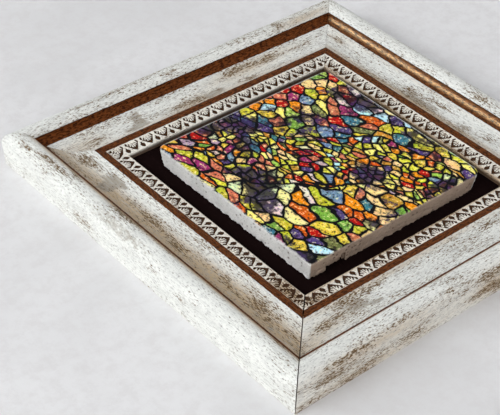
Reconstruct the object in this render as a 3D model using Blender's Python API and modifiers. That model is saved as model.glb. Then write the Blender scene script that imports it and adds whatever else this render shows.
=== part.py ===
"""Framed stone wall plaque: a square stone tile on a black board, in a mitred moulding with a leaf band.

The plaque hangs on a wall: +X is to its right, +Z is up and its front faces -Y. The origin is on the flat
back of the top rail, where it hangs, so the back lies in the plane Y = 0. Lengths are in metres.
"""

import math

import bmesh
import bpy
from mathutils import Matrix, Vector

MM = 0.001
GAP = 0.3 * MM  # clearance kept between touching pieces

# Moulding section: distance outward from the plaque's centre, and height above the back
BACK_OUTER = 99.4 * MM  # outer edge of the flat back
REBATE = 64.3 * MM  # rebate wall, which is the inner edge of the flat back
ROLL_CENTRE = (94.3 * MM, 11.7 * MM)
ROLL_RADIUS = 6.0 * MM
COVE_TOP = (89.5 * MM, 15.1 * MM)
COVE_BOTTOM = (85.9 * MM, 11.4 * MM)
COVE_DEPTH = 0.85 * MM
FILLET_OUTER = (70.5 * MM, 11.3 * MM)
FILLET_INNER = (66.8 * MM, 11.0 * MM)
SCOOP_DEPTH = 1.75 * MM
BAND_OUTER = (66.8 * MM, 10.3 * MM)  # floor of the leaf band beside the fillet
BAND_INNER = (60.8 * MM, 9.45 * MM)  # floor of the leaf band beside the lip
LIP_OUTER = (60.7 * MM, 10.15 * MM)
LIP_CENTRE = (59.95 * MM, 9.65 * MM)
LIP_RADIUS = 0.5 * MM
LIP_UNDERSIDE = 7.3 * MM

# Leaf band: one leaf under one arch, repeated along the rail
LEAF_PITCH = 8.36 * MM
RELIEF = 0.6 * MM
SUNK = 0.3 * MM  # how far the raised shapes reach into the band's floor
ARCH_WIDTH = 0.85 * MM
ARCH_REACH = 0.96  # how far across the band the arches' tops reach
# Shift of the leaves along each rail, which starts them at its own place
LEAF_SHIFT = {"top": -0.45 * MM, "right": 0.6 * MM, "bottom": 4.9 * MM, "left": 1.86 * MM}

# Backing board and tile
BOARD_SIDE = 128.0 * MM
BOARD_THICKNESS = 3.0 * MM
BOARD_FRONT = 7.0 * MM
TILE_SIDE = 102.8 * MM
TILE_FRONT = 15.0 * MM
TILE_BACK = BOARD_FRONT + GAP
TILE_OFFSET = (-0.3 * MM, -1.3 * MM)  # the tile sits slightly off the centre, in X and Z
TILE_EDGE_STEPS = 24  # segments along each side of the tile
TILE_CORNER_STEPS = 4  # segments round each of its corners
TILE_LAYERS = (0.07, 0.33, 0.3, 0.3)  # heights of the layers of its sides, from the front, in its thickness
# The worn corners, by their signs in X and Z: radius, and how far the corner is broken away at the back
TILE_CORNERS = {
    (1, 1): (4.0 * MM, 0.8 * MM),
    (-1, 1): (0.8 * MM, 0.0),
    (-1, -1): (5.5 * MM, 1.2 * MM),
    (1, -1): (3.6 * MM, 0.0),
}
TILE_CORNER_REACH = 6.0 * MM  # how far along the rim a break at the back reaches
TILE_NOTCH = (32.5 * MM, 42.0 * MM, 1.6 * MM)  # ends of the chip in the left side, and its depth

CENTRE_DROP = 0.5 * (REBATE + BACK_OUTER)  # from the hanging point down to the plaque's centre
CENTRE = Vector((0.0, 0.0, -CENTRE_DROP))

SMOOTH_ANGLE = math.radians(25.0)  # edges that turn by less are shaded as one round surface

# Each rail is modelled as the top one and turned about the plaque's centre
RAIL_TURNS = {"top": 0.0, "right": 90.0, "bottom": 180.0, "left": 270.0}


def clear_scene():
    """Remove whatever the file opened with."""
    for item in list(bpy.data.objects):
        bpy.data.objects.remove(item, do_unlink=True)


def new_collection(name):
    collection = bpy.data.collections.new(name)
    bpy.context.scene.collection.children.link(collection)
    return collection


def new_material(name, color, roughness):
    material = bpy.data.materials.new(name)
    material.use_nodes = True
    shader = material.node_tree.nodes["Principled BSDF"]
    shader.inputs["Base Color"].default_value = (*color, 1.0)
    shader.inputs["Roughness"].default_value = roughness
    material.diffuse_color = (*color, 1.0)
    return material


def arc(centre, radius, start, end, steps):
    """Points of a circular arc, both ends included, with the angles in degrees."""
    points = []
    for step in range(steps + 1):
        angle = math.radians(start + (end - start) * step / steps)
        points.append((centre[0] + radius * math.cos(angle), centre[1] + radius * math.sin(angle)))
    return points


def sagging_arc(start, end, depth, steps):
    """Points of the arc from start to end that hangs below its chord by depth, without its last point."""
    first, last = Vector(start), Vector(end)
    chord = last - first
    below = Vector((-chord.y, chord.x)).normalized()
    radius = (chord.length**2 / 4 + depth**2) / (2 * depth)
    centre = (first + last) / 2 - below * (radius - depth)
    half = math.asin(chord.length / (2 * radius))
    points = []
    for step in range(steps):
        angle = half * (2 * step / steps - 1)
        point = centre + radius * (math.cos(angle) * below + math.sin(angle) * chord.normalized())
        points.append(tuple(point))
    return points


def moulding_section():
    """The rail's closed section as (distance outward, height), from the rebate round by the outer side."""
    section = [(REBATE, 0.0), (BACK_OUTER, 0.0)]
    section += arc(ROLL_CENTRE, ROLL_RADIUS, 0.0, 142.0, 13)
    section += sagging_arc(COVE_TOP, COVE_BOTTOM, COVE_DEPTH, 4)
    section += sagging_arc(COVE_BOTTOM, FILLET_OUTER, SCOOP_DEPTH, 9)
    section += [FILLET_OUTER, FILLET_INNER, BAND_OUTER, BAND_INNER, LIP_OUTER]
    section += arc(LIP_CENTRE, LIP_RADIUS, 90.0, 180.0, 5)
    section += [(LIP_CENTRE[0] - LIP_RADIUS, LIP_UNDERSIDE), (REBATE, LIP_UNDERSIDE)]
    return section


def prism_from_outlines(name, outlines, thickness):
    """Mesh object of flat closed outlines in local XY, thickened evenly to both sides along local Z."""
    curve = bpy.data.curves.new(name, "CURVE")
    curve.dimensions = "2D"
    curve.fill_mode = "BOTH"
    curve.extrude = thickness / 2
    for outline in outlines:
        spline = curve.splines.new("POLY")
        spline.points.add(len(outline) - 1)
        for point, place in zip(spline.points, outline):
            point.co = (place[0], place[1], 0.0, 1.0)
        spline.use_cyclic_u = True
    source = bpy.data.objects.new(name, curve)
    bpy.context.scene.collection.objects.link(source)
    bpy.context.view_layer.update()
    evaluated = source.evaluated_get(bpy.context.evaluated_depsgraph_get())
    mesh = bpy.data.meshes.new_from_object(evaluated)
    bpy.data.objects.remove(source, do_unlink=True)
    bpy.data.curves.remove(curve)
    form = bmesh.new()
    form.from_mesh(mesh)
    bmesh.ops.remove_doubles(form, verts=form.verts, dist=0.00001)
    bmesh.ops.recalc_face_normals(form, faces=form.faces)
    form.to_mesh(mesh)
    form.free()
    return bpy.data.objects.new(name, mesh)


def arch_point(turn):
    """Middle line of one arch, for turn from 0 at its left foot to 1 at its right foot.

    The place is given along the rail from the arch's middle, in pitches, and across the band from the
    fillet (0) to the lip (1).
    """
    return turn - 0.5, math.sin(math.pi * turn)


def arch_outline(first, count):
    """Outline of the wavy ribbon that runs through all the arches of a rail, in metres."""
    band = math.dist(BAND_OUTER, BAND_INNER)
    steps = 8
    middle = []
    for index in range(count):
        for step in range(steps if index < count - 1 else steps + 1):
            along, across = arch_point(step / steps)
            middle.append(Vector((first + (index + 0.5 + along) * LEAF_PITCH, ARCH_REACH * across * band)))
    upper, lower = [], []
    for index, point in enumerate(middle):
        before = middle[max(index - 1, 0)]
        after = middle[min(index + 1, len(middle) - 1)]
        run = (after - before).normalized()
        side = Vector((-run.y, run.x)) * (ARCH_WIDTH / 2)
        upper.append(tuple(point + side))
        lower.append(tuple(point - side))
    return upper + lower[::-1]


def leaf_outline(middle):
    """Outline of one five-lobed leaf, spreading from the fillet's side of the band towards the lip."""
    band = math.dist(BAND_OUTER, BAND_INNER)
    tips = [(-0.30, 0.16), (-0.22, 0.46), (0.0, 0.68), (0.22, 0.46), (0.30, 0.16)]
    outline = [(-0.13, -0.06)]
    for index, tip in enumerate(tips):
        outline.append(tip)
        if index < len(tips) - 1:
            following = tips[index + 1]
            outline.append((0.36 * (tip[0] + following[0]), 0.36 * (tip[1] + following[1])))
    outline.append((0.13, -0.06))
    return [(middle + along * LEAF_PITCH, across * band) for along, across in reversed(outline)]


def leaf_band(name, shift):
    """Raised shapes of one rail's leaf band, lying on the band's floor, in the top rail's place."""
    reach = FILLET_OUTER[0]
    first = shift - math.ceil((reach + shift) / LEAF_PITCH) * LEAF_PITCH
    count = math.ceil((reach - first) / LEAF_PITCH)
    outlines = [arch_outline(first, count)]
    for index in range(count):
        outlines.append(leaf_outline(first + (index + 0.5) * LEAF_PITCH))
    band = prism_from_outlines(name, outlines, RELIEF + SUNK)
    # Local Y runs from the fillet to the lip, down the band's slope, and local Z rises from its floor
    inward = Vector((0.0, BAND_OUTER[1] - BAND_INNER[1], BAND_INNER[0] - BAND_OUTER[0])).normalized()
    rise = Vector((1.0, 0.0, 0.0)).cross(inward)
    corner = Vector((0.0, -BAND_OUTER[1], BAND_OUTER[0]))
    start = corner + rise * ((RELIEF - SUNK) / 2)
    columns = Matrix((Vector((1.0, 0.0, 0.0)), inward, rise)).transposed()
    band.data.transform(Matrix.Translation(start) @ columns.to_4x4())
    return band


def mitre_cutter(name, side):
    """Block that cuts an end of the top rail at 45 degrees: its +X end if side is 1, or its -X end if -1."""
    size = 3 * REBATE
    form = bmesh.new()
    bmesh.ops.create_cube(form, size=size)
    away = Vector((side, 0.0, -1.0)).normalized()
    turn = Matrix.Rotation(side * math.radians(45.0), 3, "Y")
    bmesh.ops.rotate(form, verts=form.verts, matrix=turn)
    on_mitre = Vector((side, 0.0, 1.0)) * REBATE
    bmesh.ops.translate(form, verts=form.verts, vec=on_mitre + away * (size - GAP) / 2)
    mesh = bpy.data.meshes.new(name)
    form.to_mesh(mesh)
    form.free()
    return bpy.data.objects.new(name, mesh)


def add_boolean(target, tool, operation):
    modifier = target.modifiers.new(tool.name, "BOOLEAN")
    modifier.operation = operation
    modifier.object = tool
    modifier.solver = "EXACT"


def place_tool(tool, turn, collection):
    """Put a cutter or a joining shape in its collection, shown as wire and turned with its rail."""
    collection.objects.link(tool)
    tool.location = CENTRE
    tool.rotation_euler = (0.0, turn, 0.0)
    tool.display_type = "WIRE"
    tool.hide_render = True


def build_rail(side, material, collection, tools):
    turn = math.radians(RAIL_TURNS[side])
    length = 2.04 * (ROLL_CENTRE[0] + ROLL_RADIUS)
    rail = prism_from_outlines(f"frame_rail_{side}", [moulding_section()], length)
    # The section is turned upright: its first axis becomes Z, its second -Y, and the rail runs along X
    rail.data.transform(Matrix(((0.0, 0.0, 1.0), (0.0, -1.0, 0.0), (1.0, 0.0, 0.0))).to_4x4())
    rail.data.shade_smooth()
    rail.data.set_sharp_from_angle(angle=SMOOTH_ANGLE)
    rail.data.materials.append(material)
    collection.objects.link(rail)
    rail.location = CENTRE
    rail.rotation_euler = (0.0, turn, 0.0)
    band = leaf_band(f"leaf_band_{side}", LEAF_SHIFT[side])
    place_tool(band, turn, tools)
    add_boolean(rail, band, "UNION")
    for end, label in ((-1, "start"), (1, "end")):
        cutter = mitre_cutter(f"mitre_{side}_{label}", end)
        place_tool(cutter, turn, tools)
        add_boolean(rail, cutter, "DIFFERENCE")


def build_board(material, collection):
    form = bmesh.new()
    bmesh.ops.create_cube(form, size=1.0)
    bmesh.ops.scale(form, verts=form.verts, vec=(BOARD_SIDE, BOARD_THICKNESS, BOARD_SIDE))
    mesh = bpy.data.meshes.new("backing_board")
    form.to_mesh(mesh)
    form.free()
    board = bpy.data.objects.new("backing_board", mesh)
    board.data.materials.append(material)
    collection.objects.link(board)
    board.location = CENTRE + Vector((0.0, BOARD_THICKNESS / 2 - BOARD_FRONT, 0.0))
    bevel = board.modifiers.new("worn edges", "BEVEL")
    bevel.width = 0.3 * MM
    bevel.segments = 2


def tile_wear(x, z, height):
    """How far the tile's side is worn in at a place on its rim; height is 0 at the back, 1 at the front."""
    ripple = math.sin(x / (3.1 * MM) + 1.3) * math.sin(z / (3.7 * MM) + 0.6)
    ripple += 0.5 * math.sin((x - z) / (1.9 * MM))
    wear = (0.45 * MM + 0.25 * MM * ripple) * (1.0 - height) ** 1.6
    half = TILE_SIDE / 2
    for (corner_x, corner_z), (_, depth) in TILE_CORNERS.items():
        distance = math.hypot(x - corner_x * half, z - corner_z * half)
        wear += depth * max(0.0, 1.0 - distance / TILE_CORNER_REACH) * (1.0 - height) ** 0.8
    low, high, depth = TILE_NOTCH
    if x < 0.999 * -half and low < z < high:
        wear += depth * max(0.0, 1.0 - 2.0 * height)
    return wear


def tile_outline():
    """The tile's outline in X and Z: a square with each corner rounded by its own radius."""
    half = TILE_SIDE / 2
    corners = []
    for (corner_x, corner_z), (radius, _) in TILE_CORNERS.items():
        centre = (corner_x * (half - radius), corner_z * (half - radius))
        start = math.degrees(math.atan2(corner_z, corner_x)) - 45.0
        corners.append([Vector(point) for point in arc(centre, radius, start, start + 90.0, TILE_CORNER_STEPS)])
    outline = []
    for corner, following in zip(corners, corners[1:] + corners[:1]):
        outline += corner
        for step in range(1, TILE_EDGE_STEPS):
            outline.append(corner[-1].lerp(following[0], step / TILE_EDGE_STEPS))
    return outline


def build_tile(material, collection):
    """A thick square plate whose sides are worn and chipped towards the back."""
    form = bmesh.new()
    form.faces.new([form.verts.new((place.x, -TILE_FRONT, place.y)) for place in tile_outline()])
    depth = TILE_FRONT - TILE_BACK
    edges = list(form.edges)
    for step in TILE_LAYERS:
        grown = bmesh.ops.extrude_edge_only(form, edges=edges)["geom"]
        edges = [item for item in grown if isinstance(item, bmesh.types.BMEdge) and item.is_boundary]
        moved = [item for item in grown if isinstance(item, bmesh.types.BMVert)]
        bmesh.ops.translate(form, verts=moved, vec=(0.0, step * depth, 0.0))
    bmesh.ops.holes_fill(form, edges=edges, sides=0)
    for vert in form.verts:
        height = (-vert.co.y - TILE_BACK) / depth
        inward = -Vector((vert.co.x, 0.0, vert.co.z)).normalized()
        vert.co += inward * tile_wear(vert.co.x, vert.co.z, min(max(height, 0.0), 1.0))
    bmesh.ops.recalc_face_normals(form, faces=form.faces)
    mesh = bpy.data.meshes.new("stone_tile")
    form.to_mesh(mesh)
    form.free()
    tile = bpy.data.objects.new("stone_tile", mesh)
    tile.data.materials.append(material)
    collection.objects.link(tile)
    tile.location = CENTRE + Vector((TILE_OFFSET[0], 0.0, TILE_OFFSET[1]))


def main():
    clear_scene()
    plaque = new_collection("Framed stone wall plaque")
    tools = new_collection("Plaque cutters")
    paint = new_material("distressed white paint", (0.72, 0.70, 0.64), 0.5)
    black = new_material("black board", (0.012, 0.009, 0.009), 0.7)
    stone = new_material("pale stone", (0.62, 0.58, 0.52), 0.8)
    for side in RAIL_TURNS:
        build_rail(side, paint, plaque, tools)
    build_board(black, plaque)
    build_tile(stone, plaque)


if __name__ == "__main__":
    main()
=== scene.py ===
"""The looks of a framed stone wall plaque: distressed mouldings, leaf band, black board and printed tile.

The plaque hangs on a wall: +X is to its right, +Z is up, its front faces -Y and its back lies in Y = 0.
Lengths are in metres, apart from the mouldings' own surface measures, which are in millimetres.
"""

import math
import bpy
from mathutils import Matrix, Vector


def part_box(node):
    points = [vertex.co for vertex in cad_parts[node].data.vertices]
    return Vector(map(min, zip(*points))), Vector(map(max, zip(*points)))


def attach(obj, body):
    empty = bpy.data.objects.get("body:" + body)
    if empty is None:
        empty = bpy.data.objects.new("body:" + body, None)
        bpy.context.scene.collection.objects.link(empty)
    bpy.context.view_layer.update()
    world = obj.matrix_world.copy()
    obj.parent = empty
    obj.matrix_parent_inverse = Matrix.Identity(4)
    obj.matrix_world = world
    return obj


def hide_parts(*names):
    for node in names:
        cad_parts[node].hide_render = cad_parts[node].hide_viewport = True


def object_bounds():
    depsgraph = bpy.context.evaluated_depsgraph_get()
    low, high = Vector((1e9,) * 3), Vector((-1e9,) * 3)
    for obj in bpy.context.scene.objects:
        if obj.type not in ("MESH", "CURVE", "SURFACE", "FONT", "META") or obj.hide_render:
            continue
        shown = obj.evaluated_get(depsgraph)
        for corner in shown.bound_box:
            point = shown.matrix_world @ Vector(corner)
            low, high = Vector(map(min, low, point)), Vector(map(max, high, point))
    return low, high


bl_info = {
    "name": "Framed Stone Plaque",
    "version": (1, 0, 0),
    "blender": (4, 5, 0),
    "location": "View3D > Sidebar > Plaque",
    "description": "Builds the mouldings, board and stone tile of a framed wall plaque",
    "category": "Add Mesh",
}

import bmesh
import bpy
from bpy.props import FloatProperty, FloatVectorProperty, IntProperty, PointerProperty
from mathutils import Matrix, Vector, noise

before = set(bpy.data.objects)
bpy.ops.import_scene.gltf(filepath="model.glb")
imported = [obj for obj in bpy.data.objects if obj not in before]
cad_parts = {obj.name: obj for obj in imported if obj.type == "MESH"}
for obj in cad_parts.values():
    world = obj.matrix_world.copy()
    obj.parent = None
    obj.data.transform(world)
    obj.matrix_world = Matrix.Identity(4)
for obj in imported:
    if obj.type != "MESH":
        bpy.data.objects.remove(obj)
CAD_LOW, CAD_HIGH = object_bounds()
CENTRE = (CAD_LOW + CAD_HIGH) / 2
CENTRE.y = 0.0
BOARD_LOW, BOARD_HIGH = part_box("backing_board")
BOARD_MIDDLE = (BOARD_LOW + BOARD_HIGH) / 2
TILE_LOW, TILE_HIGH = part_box("stone_tile")
TILE_MIDDLE = (TILE_LOW + TILE_HIGH) / 2
TILE_HALF = (TILE_HIGH.x - TILE_LOW.x) / 2
TILE_THICK = TILE_HIGH.y - TILE_LOW.y

MM = 0.001
LEAF_PITCH = 8.36
RAIL_TURNS = {"top": 0.0, "right": 90.0, "bottom": 180.0, "left": 270.0}

# Where the paint is worn: (place along the rail, place across it from its back edge, half length, half
# width, strength), in millimetres. "flecked" shows brown wood in flecks, less of it where the strength is
# negative, and "scuffed" is a flat grey-brown blotch. "stain_and_shade" is a soft beige tone: real stains
# in patches, and painted shade along the foot of the roll, in the scoops and low on the lip's inner wall;
# over the upper edge of the cove it also brings the brown forward and darkens it, as painted shade there.
WEAR = {
    "top": {
        "flecked": (
            (0, 7.0, 140, 12.0, -0.5),
            (-53, 41.0, 7, 2.6, 1.3),
            (-42, 37.8, 10, 0.8, 1.0),
            (-62, 38.0, 3, 1.4, 0.7),
            (-63, 42.5, 2, 1.2, 0.6),
            (-32, 40.6, 2, 2.6, 0.95),
            (-38, 39.5, 4, 1.0, 0.5),
            (-4, 37.2, 4, 1.4, 1.35),
            (0, 39.8, 9, 0.9, 0.8),
            (17, 40.2, 6, 1.9, 1.2),
            (12, 39.3, 12, 0.6, 0.7),
            (5, 43.0, 18, 0.7, 0.8),
            (4, 45.0, 16, 0.5, 0.6),
            (67, 42.2, 5, 2.2, 1.35),
            (-74, 40.0, 8, 2.4, 0.7),
            (-30, 46.2, 45, 0.6, 0.5),
            (84, 33.0, 6, 1.6, 0.9),
            (60, 20.2, 4, 0.8, 1.3),
            (71, 20.6, 5, 1.2, 1.5),
            (-63, 20.4, 3, 0.7, 0.6),
            (10, 19.5, 24, 3.0, 0.20),
            (-3, 18.5, 6, 3.0, -0.5),
            (-55, 19.0, 30, 5.0, -0.5),
            (84, 18.4, 3, 0.9, 0.9),
            (20, 23.0, 9, 1.4, 0.6),
            (52, 23.4, 4, 1.2, 0.7),
            (-78, 24.8, 4, 1.2, 0.8),
            (-12, 24.4, 4, 1.0, 0.9),
            (20, 24.6, 7, 1.0, 0.9),
            (57, 24.4, 4, 0.8, 0.9),
            (-78, 25.0, 7, 1.0, 0.9),
            (38, 6.5, 9, 2.6, 0.95),
            (-6, 1.2, 7, 1.4, 0.95),
            (-30, 8.5, 5, 2.4, 0.75),
            (-40, 3.0, 14, 1.6, 0.55),
            (-12, 12.0, 5, 2.0, 0.5),
            (-54, 55.2, 9, 3.6, 1.1),
        ),
        "scuffed": (
            (46, 44.0, 8, 1.7, 1.0),
            (47, 40.5, 4.2, 3.4, 1.0),
            (47, 36.0, 4.6, 2.8, 0.9),
            (30, 40.0, 3, 1.4, 0.7),
            (55, 41.0, 4.5, 1.2, 0.65),
            (-12, 42.0, 2, 1.2, 0.6),
            (-73, 40.5, 9, 1.8, 0.55),
            (-66, 35.0, 2.5, 2.8, 0.6),
            (14, 17.0, 34, 4.5, 0.58),
        ),
        "stain_and_shade": (
            (0, 25.8, 150, 2.0, 1.25),
            (0, 34.5, 150, 5.0, 1.15),
            (-48, 39.0, 34, 5.0, 0.8),
            (-82, 41.0, 9, 5.0, 0.6),
            (25, 39.5, 50, 3.0, 0.5),
            (0, 60.6, 90, 1.3, 1.1),
            (-54, 55.2, 9, 3.6, 0.9),
        ),
    },
    "right": {
        "flecked": (
            (-17, 42.4, 4, 1.2, 1.1),
            (-7, 44.0, 4, 1.8, 1.1),
            (-12, 43.0, 9, 1.6, 0.5),
            (22, 35.4, 5, 1.3, 1.2),
            (14, 36.6, 6, 0.9, 0.8),
            (42, 38.2, 7, 0.9, 1.0),
            (44, 35.8, 4, 1.3, 1.0),
            (50, 37.2, 4, 0.9, 0.9),
            (58, 37.5, 5, 0.7, 0.8),
            (68, 37.0, 4, 0.7, 0.5),
            (-64, 40.5, 5, 1.0, 1.1),
            (-70, 43.6, 6, 1.4, 0.6),
            (-70, 39.4, 4, 0.5, 0.7),
            (-12, 23.0, 4, 0.8, 0.9),
            (55, 25.4, 8, 0.9, 0.9),
            (24, 45.4, 4, 1.8, 0.8),
            (6, 43.4, 2, 1.4, 0.9),
            (-45, 21.0, 20, 1.0, 0.5),
            (60, 42.0, 30, 3.0, -0.2),
            (33, 36.4, 6, 1.2, 0.9),
            (41, 37.0, 4, 2.4, 0.7),
            (58, 22.4, 2.5, 2.4, 0.9),
        ),
        "scuffed": (
            (-44, 44.6, 8, 2.6, 1.0),
            (-39.6, 40.2, 3.2, 3.0, 1.0),
            (-39, 36.0, 4.4, 2.2, 0.7),
            (-56, 41.0, 3, 1.5, 0.6),
            (-31, 41.4, 4, 1.2, 0.6),
            (4, 43.6, 8, 3.4, 0.75),
            (-1, 46.0, 6, 2.0, 0.7),
            (24, 45.6, 5, 2.6, 0.65),
        ),
        "stain_and_shade": (
            (-74, 41.0, 14, 5.0, 0.55),
            (24, 41.0, 22, 6.0, 0.3),
            (34, 36.6, 26, 3.0, 0.6),
            (74, 24.0, 16, 2.2, 0.8),
            (0, 47.5, 90, 2.0, 0.5),
            (-10, 44.0, 14, 4.0, 0.5),
        ),
    },
    "bottom": {
        "flecked": (
            (-76, 37.6, 8, 1.2, 1.0),
            (-73, 36.0, 3, 1.2, 0.6),
            (-59, 37.5, 4, 0.8, 0.8),
            (0, 37.6, 6, 0.8, 1.0),
            (-7, 37.4, 2, 1.4, 0.8),
            (-19.5, 39.4, 3.4, 1.5, 1.0),
            (-9, 40.4, 9, 1.8, 0.6),
            (-10, 21.0, 5, 0.8, 0.8),
            (13, 23.4, 5, 1.2, 1.0),
            (20, 41.0, 5, 2.4, 0.7),
            (31, 40.0, 4, 1.4, 0.8),
            (-45, 42.0, 20, 3.0, -0.2),
            (0, 29.0, 130, 9.0, -0.15),
            (0, 45.5, 70, 2.6, 0.4),
            (0, 59.8, 90, 1.4, 0.6),
        ),
        "scuffed": (
            (-13, 43.4, 8, 3.4, 1.0),
            (-1, 41.5, 6, 3.4, 0.55),
            (-40, 41.0, 4, 1.2, 0.5),
            (18, 42.0, 7, 3.4, 0.6),
        ),
        "stain_and_shade": (
            (-10, 46.8, 70, 2.6, 1.1),
            (-72, 37.0, 9, 2.4, 0.35),
            (-40, 33.0, 60, 1.4, 0.3),
            (10, 60.0, 90, 1.8, 1.4),
        ),
    },
    "left": {
        "flecked": (
            (66, 40.6, 5, 2.4, 1.25),
            (50, 42.0, 12, 4.0, 0.35),
            (56, 42.0, 3, 0.9, 0.8),
            (55, 37.0, 5, 0.6, 0.8),
            (80, 37.0, 6, 4.0, 0.6),
            (-32, 44.2, 4, 1.0, 1.0),
            (-18, 46.4, 22, 0.7, 0.6),
            (18, 40.6, 5, 0.8, 0.7),
            (17, 37.2, 4, 0.6, 0.5),
            (33, 45.8, 6, 1.2, 0.9),
            (50, 45.8, 12, 2.0, 0.45),
            (20, 17.0, 13, 1.2, 0.8),
            (44, 16.6, 8, 1.8, 1.1),
            (72, 15.2, 16, 0.8, 1.0),
            (64, 7.4, 10, 4.5, 0.6),
            (84, 9.5, 8, 3.0, 0.9),
            (78, 1.2, 20, 1.6, 0.9),
            (-5, 6.0, 9, 1.0, 1.2),
            (-5, 14.4, 8, 1.6, 1.1),
            (-8, 9.0, 9, 6.0, 0.7),
            (10, 12.0, 3, 1.2, 0.7),
            (36, 6.0, 6, 1.2, 0.7),
            (16, 20.5, 14, 1.6, 0.4),
            (0, 18.0, 130, 8.0, -0.18),
            (58, 55.2, 7, 3.6, 0.8),
            (0, 59.8, 90, 1.4, 0.7),
        ),
        "scuffed": (
            (45, 40.6, 7, 2.4, 0.65),
            (38, 38.4, 3.4, 1.2, 0.9),
            (50, 44.4, 13, 3.2, 0.55),
            (84, 9.0, 8, 4.0, 0.6),
            (48, 9.0, 9, 3.6, 0.4),
        ),
        "stain_and_shade": (
            (40, 6.0, 110, 8.0, 0.30),
            (-8, 8.0, 10, 7.0, 0.6),
            (80, 36.0, 12, 5.0, 0.8),
            (62, 2.0, 30, 2.5, 0.5),
            (62, 41.0, 12, 4.0, 0.5),
            (60, 14.0, 34, 2.6, 0.6),
            (0, 26.5, 150, 1.1, 1.0),
            (20, 47.6, 60, 1.0, 0.8),
            (0, 60.2, 90, 1.6, 1.7),
            (58, 55.2, 7, 3.6, 0.6),
        ),
    },
}
WEAR_KINDS = ("flecked", "scuffed", "stain_and_shade")


# ---------------------------------------------------------------- settings


class MouldingSettings(bpy.types.PropertyGroup):
    """Section and fineness of the mouldings; places are (distance from the plaque's centre, height)."""

    back_outer: FloatProperty(
        name="Back edge", description="Outer edge of the flat back", default=99.4 * MM, unit="LENGTH"
    )
    rebate: FloatProperty(
        name="Rebate", description="Rebate wall behind the leaf band", default=64.3 * MM, unit="LENGTH"
    )
    roll_centre: FloatVectorProperty(
        name="Roll centre", description="Centre of the outer roll", size=2, default=(94.3 * MM, 11.7 * MM)
    )
    roll_radius: FloatProperty(
        name="Roll radius", description="Radius of the outer roll", default=6.0 * MM, unit="LENGTH"
    )
    cove_top: FloatVectorProperty(
        name="Cove top", description="Upper edge of the brown cove", size=2, default=(89.5 * MM, 15.1 * MM)
    )
    cove_bottom: FloatVectorProperty(
        name="Cove bottom",
        description="Lower edge of the brown cove",
        size=2,
        default=(85.9 * MM, 11.4 * MM),
    )
    cove_depth: FloatProperty(
        name="Cove depth", description="How far the cove is hollowed", default=0.85 * MM, unit="LENGTH"
    )
    fillet_outer: FloatVectorProperty(
        name="Fillet outer",
        description="Outer edge of the brown fillet",
        size=2,
        default=(70.5 * MM, 11.3 * MM),
    )
    fillet_inner: FloatVectorProperty(
        name="Fillet inner",
        description="Inner edge of the brown fillet",
        size=2,
        default=(66.8 * MM, 11.0 * MM),
    )
    scoop_depth: FloatProperty(
        name="Scoop depth", description="How far the panel is hollowed", default=1.75 * MM, unit="LENGTH"
    )
    lip_outer: FloatVectorProperty(
        name="Lip outer",
        description="Where the leaf band meets the lip",
        size=2,
        default=(60.45 * MM, 10.15 * MM),
    )
    lip_centre: FloatVectorProperty(
        name="Lip centre",
        description="Centre of the lip's rounding",
        size=2,
        default=(59.95 * MM, 9.65 * MM),
    )
    lip_radius: FloatProperty(
        name="Lip radius", description="Radius of the lip's rounding", default=0.5 * MM, unit="LENGTH"
    )
    lip_underside: FloatProperty(
        name="Lip underside", description="Height of the lip's underside", default=7.3 * MM, unit="LENGTH"
    )
    mitre_gaps: FloatVectorProperty(
        name="Mitre gaps",
        description="Gap at the mitre after the top, right, bottom and left rail, going clockwise",
        size=4,
        default=(0.08 * MM, 0.08 * MM, 0.10 * MM, 0.42 * MM),
    )
    slices: IntProperty(name="Slices", description="Segments along each rail", default=960, min=8)
    band_rows: IntProperty(name="Band rows", description="Segments across the leaf band", default=44, min=4)


class LeafBandSettings(bpy.types.PropertyGroup):
    """The leaf band: one leaf under one arch, repeated along the rail."""

    pitch: FloatProperty(
        name="Pitch", description="From one leaf to the next", default=LEAF_PITCH * MM, unit="LENGTH"
    )
    relief: FloatProperty(
        name="Relief", description="Depth of the ground between the leaves", default=0.5 * MM, unit="LENGTH"
    )
    shifts: FloatVectorProperty(
        name="Shifts",
        description="Where the leaves start on the top, right, bottom and left rail",
        size=4,
        default=(-0.45 * MM, 0.6 * MM, 4.9 * MM, 1.86 * MM),
    )
    grounds: FloatVectorProperty(
        name="Grounds",
        description="How far the dark ground fills the hollows of the top, right, bottom and left rail",
        size=4,
        default=(0.85, 0.5, 0.5, 1.0),
    )


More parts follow.
